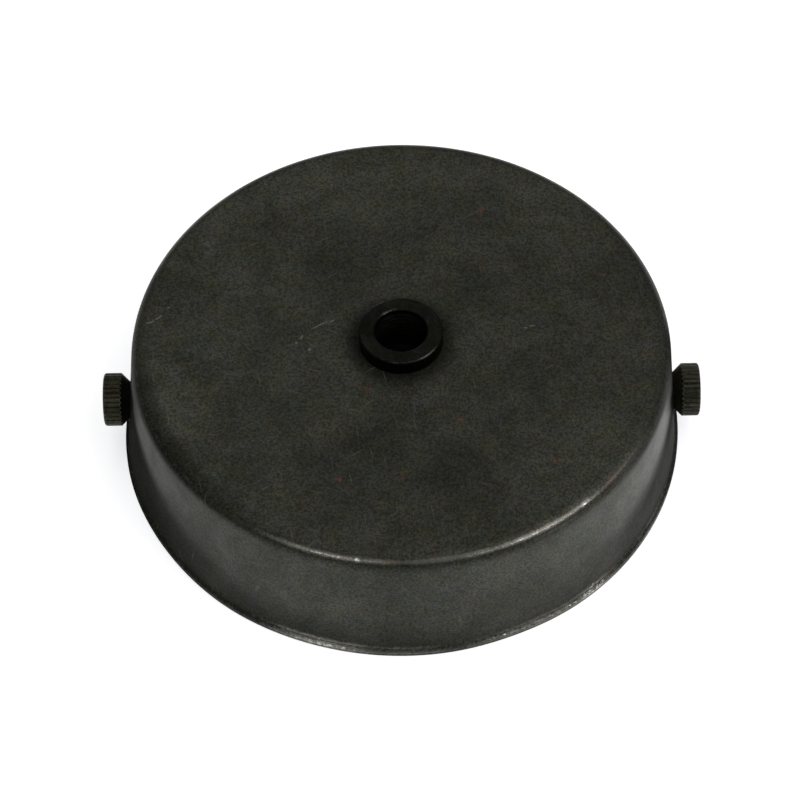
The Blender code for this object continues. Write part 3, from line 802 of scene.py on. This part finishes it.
def blackening_and_painted_light_map(grid):
    """0 for an even blackening, above 0 darker and duller, more than 1 in the screws' streaks, and below 0
    lighter.

    Most of it is painted light: painted shade along the foot, beside and above the screws, round the bush,
    at the left of the corner, on the side walls and on most wall patches, and painted highlight on the other
    wall patches and the lighter face patches. The darker face patches are uneven blackening. The foot
    shade's height and depth go from the front's value to the side's with sin(angle) ** 4.
    """
    x, y, z = (grid[..., i] / MM for i in range(3))
    angle, radius = side_angle(grid), np.hypot(x, y)
    beside = np.sin(np.radians(angle)) ** 4
    foot_shade_top, foot_shade_depth = (
        front + (np.where(x < 0, left, right) - front) * beside
        for front, left, right in (FOOT_SHADE_HEIGHTS, FOOT_SHADE_DEPTHS)
    )
    clear_angle, clear_width, cleared = LESS_FOOT_SHADE
    foot_shade_depth = foot_shade_depth * (1 - cleared * near(angle, clear_angle, clear_width))
    outside, on_wall = radius > FACE_RADIUS, radius > FACE_RADIUS - 1
    # Painted shade along the foot, for the table's shadow mirrored in the wall.
    foot_shade = foot_shade_depth * np.clip((foot_shade_top - z) / FOOT_SHADE_SOFTNESS + 0.5, 0, 1) * outside
    # Painted shade beside the screws, for their heads mirrored in the wall.
    half_width, top, soft = SCREW_SHADE
    by_screw = np.maximum(near(angle, 90, half_width), near(angle, -90, half_width))
    by_screw = by_screw * np.clip((top - z) / soft + 0.5, 0, 1) * outside
    # A painted shadow ring round the bush.
    ring = bell(np.maximum(radius - COLLAR_SHADE_EDGE, 0), 0, COLLAR_SHADE_WIDTH)
    # Painted shade on the left of the corner and on the side walls.
    corner = near(angle, *DARK_CORNER) * bell(z, CUP_HEIGHT - DARK_CORNER_DROP, DARK_CORNER_REACH)
    corner = corner * (radius > FACE_RADIUS - 3)
    sides = sum(depth * near(angle, middle, width) for middle, width, depth in SIDE_WALLS) * on_wall
    darkening = np.maximum.reduce([foot_shade, by_screw, ring, corner, sides])
    # Face patches: darker ones uneven blackening, lighter ones painted light. Wall patches are painted
    # reflection.
    for patch_x, patch_y, size, depth in FACE_PATCHES:
        darkening += depth * bell(np.hypot(x - patch_x, y - patch_y), 0, size) * (radius < FACE_RADIUS)
    for middle, width, height, reach, depth in WALL_PATCHES:
        darkening += depth * near(angle, middle, width) * bell(z, height, reach) * on_wall
    darkening = np.clip(darkening, MOST_LIGHTENING, MOST_DARKENING)
    # Painted reflections of the screw heads.
    streak = painted_screw_reflection(angle, z, -90, STREAK_LEFT) + painted_screw_reflection(angle, z, 90, STREAK_RIGHT)
    return darkening + np.maximum(STREAK_DEPTH * streak * on_wall - np.maximum(darkening, 0), 0)


def dented(grid):
    """Moves the rim in or out round each dent, fading up the wall to nothing at the corner."""
    angle = side_angle(grid)
    radius = np.linalg.norm(grid[..., :2], axis=-1)
    shift = sum(strength * near(angle, middle, width) for middle, width, strength in RIM_DENTS)
    share = np.clip(1 - grid[..., 2] / (CUP_HEIGHT * MM), 0, 1) * (radius > (FACE_RADIUS - 3) * MM)
    shaped = grid.copy()
    shaped[..., :2] *= (1 + shift * share * MM / radius)[..., None]
    return shaped


cup_rub = cup_wear(cup_grid, cup_rub)
cup_blackening_and_painted_light = blackening_and_painted_light_map(cup_grid)
print("most rub and heavy:", round(cup_rub.max(), 2), round(cup_blackening_and_painted_light.max(), 2))

# %% The cup
cup = shape("pressed_cup", (dented(cup_grid), cup_rub), heavy=cup_blackening_and_painted_light)
for side in (-1, 1):
    inner, outer = side * (FACE_RADIUS - 4 * SHEET), side * (RIM_RADIUS + SHEET)
    carve(cup, rod_mesh((inner, 0, SCREW_HEIGHT), (outer, 0, SCREW_HEIGHT), WALL_HOLE_RADIUS))
fit_piece(cup, cup_steel, "canopy", "canopy_cup")

# %% [markdown]
# ## The bush
#
# The bush is turned from bar: a round collar that stands on the face, a hollow shank through the sheet,
# and threads inside and out. A thread could be a bump pattern, but the bore shows its first turns to
# anyone who looks down it. Here the radius follows a sawtooth that climbs one pitch with each turn, and
# it fades out at both ends of the thread, as a die leaves it.

# %% The bush
bush_low, bush_high = box_mm("cord_bush")
COLLAR_RADIUS = bush_high[0]
COLLAR_TOP = bush_high[2]
BUSH_END = bush_low[2]
BORE_RADIUS = 4.6
SHANK_RADIUS = 6.0
BORE_THREAD_DEPTH = 0.30
SHANK_THREAD_DEPTH = 0.35
FINE_PITCH = 1.0
COLLAR_LIFT = 0.02
BUSH_CHAMFER = 0.3
BUSH_STEPS_ROUND = 144
BUSH_WEAR = ((42, 24, 1.3), (0, 40, 0.75), (-150, 30, 1.8), (150, 40, 0.8))


def make_bush_grid():
    """The bush's turned grid, with both threads cut into its radius."""
    thread_start = BUSH_END + BUSH_CHAMFER
    rows = [
        (COLLAR_RADIUS, CUP_HEIGHT + COLLAR_LIFT, 0.12, 0.2, 0.6),
        (COLLAR_RADIUS, COLLAR_TOP, 0.45, 0.60, 0.5),
        (BORE_RADIUS + 0.22, COLLAR_TOP, 0.10, 0.35, 0.2),
        (BORE_RADIUS, COLLAR_TOP - 0.22, 0.10, 0.1, 0.12),
        (BORE_RADIUS, thread_start, 0.10, 0, 0.2),
        (BORE_RADIUS + BUSH_CHAMFER, BUSH_END, 0.05, 0.2, 0.4),
        (SHANK_RADIUS - BUSH_CHAMFER, BUSH_END, 0.05, 0.2, 0.2),
        (SHANK_RADIUS, thread_start, 0.05, 0.2, 0.12),
        (SHANK_RADIUS, CUP_HEIGHT + COLLAR_LIFT, 0, 0, 0.5),
    ]
    grid, rub = turned_grid(rows, BUSH_STEPS_ROUND)
    cut_thread(grid, BORE_RADIUS, -BORE_THREAD_DEPTH, FINE_PITCH, (thread_start, COLLAR_TOP - 0.4))
    cut_thread(grid, SHANK_RADIUS, SHANK_THREAD_DEPTH, FINE_PITCH, (thread_start, CUP_HEIGHT - 0.6))
    return grid, rub * wear_share(side_angle(grid), BUSH_WEAR)


bush = shape("turned_bush", make_bush_grid())
fit_piece(bush, bush_steel, "canopy", "cord_bush")

# %% [markdown]
# ## The thumb screws
#
# Each screw is turned, and then a knurling wheel rolls straight grooves into its head. The head's
# radius is the lesser of two: the turned outline, and a toothed cylinder. So the grooves run out by
# themselves where the chamfer and the taper fall below their roots, exactly as they do on the lathe.
# The threaded shank is a second closed shell that starts inside the neck. The two screws differ only in
# The two screws differ only in how they are turned, handled and blackened. Both tapers carry painted
# light, lighter than the heads, and the right head is made lighter than the left.

# %% The thumb screws
HEAD_END = screw_high[0]
SHANK_TIP = screw_low[0]
KNURL_RADIUS = screw_high[1]
KNURL_LENGTH = 3.1
KNURL_DEPTH = 0.24
KNURL_TEETH = 32
POINTS_IN_A_TOOTH = 12
KNURL_UNEVENNESS = 0.10
CREST_RUB, HANDLED_RUB = 0.10, 0.50
NECK_RADIUS = 2.4
SCREW_CREST_RADIUS = 1.92
SCREW_THREAD_DEPTH = 0.36
SCREW_PITCH = 0.7
TIP_CHAMFER = 0.45
SHANK_STEPS_ROUND = 64
NECK_START = HEAD_END - KNURL_LENGTH - (KNURL_RADIUS - NECK_RADIUS)
THICK_END, THICK_END_DEPTH = 0.15, 0.2
# Side, word, roll, handled rub, head darkening and taper darkening. The tapers' values below 0 are painted
# light; the right head's value makes it lighter than the left.
SCREWS = ((-1, "left", 0.3, 0, 0, -0.9), (1, "right", 1.9, 0.05, -0.50, -1.5))


def head_grid():
    """The head round its own axis, with Z along it: the lesser of the outline and the toothed cylinder.

    A tooth is 1.5 * |2 p - 1| cut off at 1, so it has a flat crest, and each is a little lower or more
    handled than the next.
    """
    rows = [
        (0, NECK_START, 0, 0, 0.4),
        (NECK_RADIUS, NECK_START, 0.10, 0, 0.2),
        (KNURL_RADIUS, HEAD_END - KNURL_LENGTH, 0.15, 0.5, 0.14),
        (KNURL_RADIUS, HEAD_END, 0.55, 0.6, 0.5),
        (0, HEAD_END, 0, 0, 0.5),
    ]
    grid, rub = turned_grid(rows, KNURL_TEETH * POINTS_IN_A_TOOTH, closed=False)
    radius, angle = polar(grid)
    turned_teeth = angle * KNURL_TEETH / TURN
    tooth = np.minimum(1.0, 1.5 * np.abs(2.0 * (turned_teeth % 1.0) - 1.0))
    number = np.floor(turned_teeth)
    root = KNURL_RADIUS - KNURL_DEPTH
    crest = root + KNURL_DEPTH * tooth * (1.0 - KNURL_UNEVENNESS * np.sin(number * 2.3) ** 2)
    knurled = radius > root
    set_radius(grid, radius, np.where(knurled, np.minimum(radius, crest), radius))
    handled = (0.5 + 0.5 * np.sin(number * 5.1)) ** 2
    return grid, np.maximum(rub * 0.6, (tooth > 0.95) * knurled * (CREST_RUB + HANDLED_RUB * handled))


def shank_grid():
    """The threaded shank, from its chamfered tip to inside the neck."""
    rows = [
        (0, SHANK_TIP, 0, 0, 0.4),
        (SCREW_CREST_RADIUS - TIP_CHAMFER, SHANK_TIP, 0.05, 0, 0.1),
        (SCREW_CREST_RADIUS, SHANK_TIP + TIP_CHAMFER, 0.05, 0, 0.07),
        (SCREW_CREST_RADIUS, NECK_START + 0.5, 0.05, 0, 0.4),
        (0, NECK_START + 0.5, 0, 0, 0.4),
    ]
    grid, rub = turned_grid(rows, SHANK_STEPS_ROUND, closed=False)
    ends = (SHANK_TIP, NECK_START)
    cut_thread(grid, SCREW_CREST_RADIUS, SCREW_THREAD_DEPTH, SCREW_PITCH, ends, run_out=0.5)
    return grid, rub


def lay_along_x(grid, side, roll):
    """Turns a grid made round Z so that its axis lies along X at the screws' height."""
    across = grid[..., 0] * math.cos(roll) - grid[..., 1] * math.sin(roll)
    upward = grid[..., 0] * math.sin(roll) + grid[..., 1] * math.cos(roll)
    return np.stack([side * grid[..., 2], across, upward + SCREW_HEIGHT * MM], -1)


for side, word, roll, handled, head_darkening, taper_painted_light in SCREWS:
    shells, blackening_and_painted_light_values = [], []
    for grid, rub in (head_grid(), shank_grid()):
        shells.append((lay_along_x(grid, side, roll), rub + handled))
        along = grid[..., 2] / MM
        # The taper's value below 0 is painted light.
        thick_blackening_and_painted_light = np.where(along < HEAD_END - KNURL_LENGTH, taper_painted_light, head_darkening)
        blackening_and_painted_light_values.append(np.where(along > HEAD_END - THICK_END_DEPTH, THICK_END, thick_blackening_and_painted_light).ravel())
    blackening_and_painted_light_values = np.concatenate(blackening_and_painted_light_values)
    screw = shape(f"{word}_knurled_screw", *shells, heavy=blackening_and_painted_light_values, wraps=(True, False))
    fit_piece(screw, screw_brass, f"{word}_screw", f"{word}_thumb_screw", sharp_degrees=28)

# %% [markdown]
# ## Washer and nut behind the bush
#
# Inside the cup a toothed washer and a thin hexagon nut hold the bush. The washer is a ring of spring
# steel whose inner teeth are twisted, so each tooth tilts about its own middle. The nut is the lesser of
# a hexagon and two cones: where a cone is the lesser, it leaves the curved chamfer that every nut has.

# %% Washer and nut
washer_low, washer_high = box_mm("bush_lock_washer")
nut_low, nut_high = box_mm("bush_nut")
TOUCHING_GAP = 0.3
WASHER_SHEET = 0.5
WASHER_TEETH = 12
POINTS_IN_A_WASHER_TOOTH = 24
WASHER_ROOT_RADIUS = 7.5
TOOTH_HALF_WIDTH, TOOTH_SIDE = 0.28, 0.06
TOOTH_TWIST = 0.22
NUT_STEPS_ROUND = 180
NUT_CHAMFER = 0.3
CONE_SETBACK, CONE_SLOPE = 0.75, 1.6


def make_washer_grid():
    """A flat ring whose inner edge steps in at each tooth, and whose teeth tilt about their middles."""
    middle, outer = (washer_low[2] + washer_high[2]) / 2, washer_high[0]
    low, high = middle - WASHER_SHEET / 2, middle + WASHER_SHEET / 2
    inner = SHANK_RADIUS + TOUCHING_GAP
    rows = [
        (outer, low, 0.1, 0.2, 0.3), (outer, high, 0.1, 0.2, 0.3),
        (inner, high, 0.05, 0.1, 0.3), (inner, low, 0.05, 0.1, 0.3),
    ]
    grid, rub = turned_grid(rows, WASHER_TEETH * POINTS_IN_A_WASHER_TOOTH)
    radius, angle = polar(grid)
    phase = (angle * WASHER_TEETH / TURN) % 1.0
    in_gap = np.clip((np.abs(phase - 0.5) - TOOTH_HALF_WIDTH) / TOOTH_SIDE, 0, 1)
    start = inner + in_gap * (WASHER_ROOT_RADIUS - inner)
    moved = outer - np.clip((outer - radius) / (outer - inner), 0, 1) * (outer - start)
    tooth_depth = np.clip((WASHER_ROOT_RADIUS - moved) / (WASHER_ROOT_RADIUS - inner), 0, 1)
    set_radius(grid, radius, moved)
    grid[..., 2] += TOOTH_TWIST * MM * (phase - 0.5) / TOOTH_HALF_WIDTH * tooth_depth * (1 - in_gap)
    return grid, rub


def make_nut_grid():
    """Six flats with a cone at each face, round a threaded bore."""
    low, high, corner = nut_low[2], nut_high[2], nut_high[0]
    bore = SHANK_RADIUS + 0.15
    rows = [
        (bore + NUT_CHAMFER, low, 0.05, 0.1, 0.3), (corner, low, 0.05, 0.1, 0.15),
        (corner, high, 0.05, 0.1, 0.3), (bore + NUT_CHAMFER, high, 0.05, 0.1, 0.2),
        (bore, high - NUT_CHAMFER, 0.05, 0, 0.12), (bore, low + NUT_CHAMFER, 0.05, 0, 0.2),
    ]
    grid, rub = turned_grid(rows, NUT_STEPS_ROUND)
    radius, angle = polar(grid)
    height = grid[..., 2] / MM
    hexagon = corner * math.cos(TURN / 12) / np.cos(angle % (TURN / 6) - TURN / 12)
    cone = corner - CONE_SETBACK + np.minimum(height - low, high - height) * CONE_SLOPE
    set_radius(grid, radius, np.minimum.reduce([radius, hexagon, cone]))
    return grid, rub


washer = shape("toothed_washer", make_washer_grid())
fit_piece(washer, zinc, "canopy", "bush_lock_washer")
nut = shape("hexagon_nut", make_nut_grid())
fit_piece(nut, zinc, "canopy", "bush_nut", sharp_degrees=24)

# %% [markdown]
# ## The strap
#
# The strap is cut from strip and bent up at both ends. A rounded rectangle carried along the bent line
# gives the strip its rolled edges, and the rectangle narrows along a quarter circle near each end, which
# rounds the ears. Holes and slots are then punched with Booleans, as the press does.

# %% The strap
strap_low, strap_high = box_mm("mounting_strap")
earth_low, earth_high = box_mm("earth_screw")
STRIP = 1.5
STRIP_EDGE_RADIUS = 0.20
BEND_RADIUS = 1.2
EAR_CORNER = 4.0
SLOT_WIDTH = 5.2
SLOT_LENGTH = 14.0
SLOT_TO_MIDDLE = 27.0
CORD_HOLE_RADIUS = 5.2
TAPPED_RADIUS = 2.1
SIDE_HOLE_STEPS = 48
PLUNGE_WALL = 1.0
PLUNGE_DEPTH = 1.2
PUNCH_HEIGHTS = (-2.0, 6.0)
EARTH_X = (earth_low[0] + earth_high[0]) / 2


def make_strip_grid():
    """A rounded rectangle carried along the strap's bent middle line, between two closed ends."""
    half_strip, half_width, e = STRIP / 2, strap_high[1], STRIP_EDGE_RADIUS
    far, low, top = strap_high[0] - half_strip, strap_low[2] + half_strip, strap_high[2]
    bend = BEND_RADIUS + half_strip
    line, _ = rounded_outline(
        [(-far, top, 0, 0, 0.5), (-far, low, bend, 0, 1.5), (far, low, bend, 0, 0.5), (far, top, 0, 0, 0.5)],
        closed=False,
    )
    ahead = np.gradient(line, axis=0)
    ahead /= np.linalg.norm(ahead, axis=1)[:, None]
    section, rub = rounded_outline(
        [(-half_width, -half_strip, e, 0.3, 1.0), (half_width, -half_strip, e, 0.3, 0.4),
         (half_width, half_strip, e, 0.3, 1.0), (-half_width, half_strip, e, 0.3, 0.4)]
    )
    from_end = np.minimum(*(np.linalg.norm(line - end, axis=1) for end in (line[0], line[-1]))) / MM
    short = np.clip(EAR_CORNER - from_end, 0, EAR_CORNER)
    narrowed = 1 - (EAR_CORNER - np.sqrt(EAR_CORNER**2 - short**2)) / half_width
    across, through = section[None, :, 0] * narrowed[:, None], section[None, :, 1]
    along_x, along_z = line[:, :1] - through * ahead[:, 1:], line[:, 1:] + through * ahead[:, :1]
    grid = np.stack([along_x, across, along_z], -1)
    ends = [np.repeat(grid[i].mean(0)[None, None], grid.shape[1], 1) for i in (0, -1)]
    grid = np.concatenate([ends[0], grid, ends[1]])
    return grid, np.repeat(rub[None], len(grid), 0)


def slot_mesh(x):
    """A round-ended bar through the strap, in millimetres round x, to punch a slot with."""
    a, b = SLOT_LENGTH / 2, SLOT_WIDTH / 2
    rows = [(x + i * a, j * b, b - 0.001, 0, 4.0) for i, j in ((-1, -1), (1, -1), (1, 1), (-1, 1))]
    return bar_mesh(rounded_outline(rows)[0] / MM, *PUNCH_HEIGHTS)


strap = shape("bent_strap", make_strip_grid(), wraps=(False, True))
ear_inside = strap_high[0] - STRIP
PLUNGE = (ear_inside - PLUNGE_DEPTH, ear_inside + STRIP / 2, TAPPED_RADIUS + PLUNGE_WALL, "UNION")
TAPPED_HOLE = (ear_inside - 2 * PLUNGE_DEPTH, strap_high[0] + 1, TAPPED_RADIUS, "DIFFERENCE")
for side in (-1, 1):
    for start, end, radius, operation in (PLUNGE, TAPPED_HOLE):
        ends = ((side * x, 0, SCREW_HEIGHT) for x in (start, end))
        carve(strap, rod_mesh(*ends, radius, SIDE_HOLE_STEPS), operation)
    carve(strap, slot_mesh(side * SLOT_TO_MIDDLE))
for x, radius in ((0.0, CORD_HOLE_RADIUS), (EARTH_X, TAPPED_RADIUS)):
    carve(strap, rod_mesh(*((x, 0, height) for height in PUNCH_HEIGHTS), radius))
fit_piece(strap, zinc, "canopy", "mounting_strap")

# %% [markdown]
# ## The earth screw and its washer
#
# A metal canopy is bonded to earth. A short brass screw with a rounded slotted head clamps the wire under
# a dished washer. Both are turned, and the slot is sawn across the head.

# %% Earth screw and washer
clamp_low, clamp_high = box_mm("earth_clamp_washer")
EARTH_HEAD_RADIUS = (earth_high[1] - earth_low[1]) / 2
EARTH_HEAD_LOW = clamp_low[2] + 1.1
EARTH_KNEE_GAP = 0.3
EARTH_SHANK_RADIUS = 1.85
EARTH_STEPS_ROUND = 64
EARTH_SLOT_WIDTH = 1.0
EARTH_SLOT_DEPTH = 1.2
EARTH_SLOT_ANGLE = math.radians(35)
CLAMP_SHEET = 0.8
CLAMP_BORE = 2.1
CLAMP_STEPS_ROUND = 72


def make_earth_screw_grid():
    """A domed head over a short threaded shank, turned round its axis."""
    top, shank = earth_high[2], EARTH_SHANK_RADIUS
    rows = [
        (0, earth_low[2], 0, 0, 0.4),
        (shank, earth_low[2], 0.2, 0, 0.07),
        (shank, EARTH_HEAD_LOW, 0.05, 0, 0.3),
        (EARTH_HEAD_RADIUS, EARTH_HEAD_LOW, 0.2, 0.3, 0.2),
        (EARTH_HEAD_RADIUS, top, 1.2, 0.3, 0.3),
        (0, top, 0, 0, 0.3),
    ]
    grid, rub = turned_grid(rows, EARTH_STEPS_ROUND, closed=False)
    cut_thread(grid, shank, SCREW_THREAD_DEPTH, SCREW_PITCH)
    return grid, rub


def make_saw_cut_mesh():
    """A flat bar across the head, to saw the driver's slot with."""
    a, b = EARTH_SLOT_WIDTH / 2, 2 * EARTH_HEAD_RADIUS
    mesh = bar_mesh([(-a, -b), (a, -b), (a, b), (-a, b)], earth_high[2] - EARTH_SLOT_DEPTH, earth_high[2] + 1)
    mesh.transform(Matrix.Rotation(EARTH_SLOT_ANGLE, 4, "Z"))
    return mesh


def make_clamp_grid():
    """A saucer of even thickness: flat under the head, turned up at its rim."""
    rim, low, flat_top = clamp_high[1], clamp_low[2], clamp_low[2] + CLAMP_SHEET
    knee = EARTH_HEAD_RADIUS + EARTH_KNEE_GAP
    rows = [
        (CLAMP_BORE, low, 0.1, 0, 0.4), (knee, low, 0.3, 0, 0.2),
        (rim, clamp_high[2] - CLAMP_SHEET, 0.15, 0.3, 0.3), (rim, clamp_high[2], 0.15, 0.3, 0.2),
        (knee, flat_top, 0.3, 0, 0.4), (CLAMP_BORE, flat_top, 0.1, 0, 0.3),
    ]
    return turned_grid(rows, CLAMP_STEPS_ROUND)


earth_screw = shape("slotted_earth_screw", make_earth_screw_grid(), wraps=(True, False))
carve(earth_screw, make_saw_cut_mesh())
clamp = shape("dished_washer", make_clamp_grid())
for piece, node_name in ((earth_screw, "earth_screw"), (clamp, "earth_clamp_washer")):
    piece.data.transform(Matrix.Translation((EARTH_X * MM, 0, 0)))
    fit_piece(piece, brass, "canopy", node_name)

# %% [markdown]
# ## Table and light
#
# The photograph has a plain white ground. The table is matt and nearly white, and a little light of its
# own, which only the camera and mirrored rays see, brings it to paper white while the canopy's shadow
# stays. The canopy's wall mirrors the table beside it, so the table is also what lights the wall. Two
# low lamps stand to the right and left of the camera and draw the bright line along the corner, the
# right one brighter. Two larger ones stand higher at the right and behind, and the room is a plain grey.

# %% Table
TABLE_HALF_WIDTH = 1.5
TABLE_COLOUR = (0.80, 0.80, 0.80)
TABLE_OWN_LIGHT = 0.60
TABLE_OWN_COLOUR = (0.95, 0.96, 1.0)
FAR_TABLE_LIGHT, FAR_TABLE_STARTS, FAR_TABLE_REACHED = 0.35, 0.13, 0.26


def make_table():
    """A flat matt sheet under the rim. Far out, mirrored rays find less of its own light."""
    corners = np.array([(-1, -1, 0), (1, -1, 0), (1, 1, 0), (-1, 1, 0)]) * TABLE_HALF_WIDTH
    mesh = bpy.data.meshes.new("table")
    mesh.from_pydata(corners, [], [(0, 1, 2, 3)])
    table = add_object("table", mesh)
    material, tree, shader, place = start_material("white paper")
    from_middle = add_node("ShaderNodeVectorMath", {0: place}, operation="LENGTH").outputs["Value"]
    outside = maths("GREATER_THAN", from_middle, (RIM_RADIUS - SHEET) * MM)
    far = soft_step(from_middle, FAR_TABLE_STARTS, FAR_TABLE_REACHED)
    in_mirror = blend_values(far, TABLE_OWN_LIGHT, TABLE_OWN_LIGHT * FAR_TABLE_LIGHT)
    rays = add_node("ShaderNodeLightPath", tree=tree).outputs
    mirrored = maths("MAXIMUM", rays["Is Glossy Ray"], rays["Is Transmission Ray"])
    mirrored = times(mirrored, in_mirror)
    seen = times(rays["Is Camera Ray"], TABLE_OWN_LIGHT)
    inputs = {
        "Base Color": TABLE_COLOUR,
        "Roughness": 0.9,
        "Specular IOR Level": 0.1,
        "Emission Color": TABLE_OWN_COLOUR,
        "Emission Strength": times(maths("MAXIMUM", seen, mirrored), outside),
    }
    feed(shader, inputs)
    mesh.materials.append(material)


make_table()

# %% Room and lamps
ROOM_COLOUR = (1.0, 0.99, 0.94)
HORIZON_LIGHT, CEILING_LIGHT = 0.14, 0.56
CEILING_STARTS = math.sin(math.radians(42))
LAMPS = (
    ("key lamp", 54, 33, 0.80, (0.60, 0.14), 4.5),
    ("fill lamp", -27, 36, 0.80, (0.28, 0.16), 2.6),
    ("right lamp", 70, 60, 0.90, (0.60, 0.50), 1.6),
    ("back lamp", -140, 60, 1.00, (0.60, 0.50), 1.2),
)


def make_room():
    """A plain room, dim at the horizon and pale above."""
    world = bpy.data.worlds.new("studio room")
    world.use_nodes = True
    tree = world.node_tree
    sight = add_node("ShaderNodeTexCoord", tree=tree).outputs["Generated"]
    upward = add_node("ShaderNodeSeparateXYZ", {"Vector": sight}).outputs["Z"]
    light = blend_values(soft_step(upward, 0.0, CEILING_STARTS), HORIZON_LIGHT, CEILING_LIGHT)
    feed(tree.nodes["Background"], {"Color": ROOM_COLOUR, "Strength": light})
    bpy.context.scene.world = world


def add_lamp(name, azimuth, elevation, distance, size, brightness):
    """A soft rectangular lamp that faces the canopy. Brightness is what a mirror would show."""
    data = bpy.data.lights.new(name, "AREA")
    data.shape = "RECTANGLE"
    data.size, data.size_y = size
    data.energy = brightness * math.pi * size[0] * size[1]
    face_canopy(data, math.radians(azimuth), math.radians(elevation), distance)


make_room()
for lamp_values in LAMPS:
    add_lamp(*lamp_values)
bpy.context.scene.view_settings.view_transform = "Standard"
print("lamps:", [values[0] for values in LAMPS])
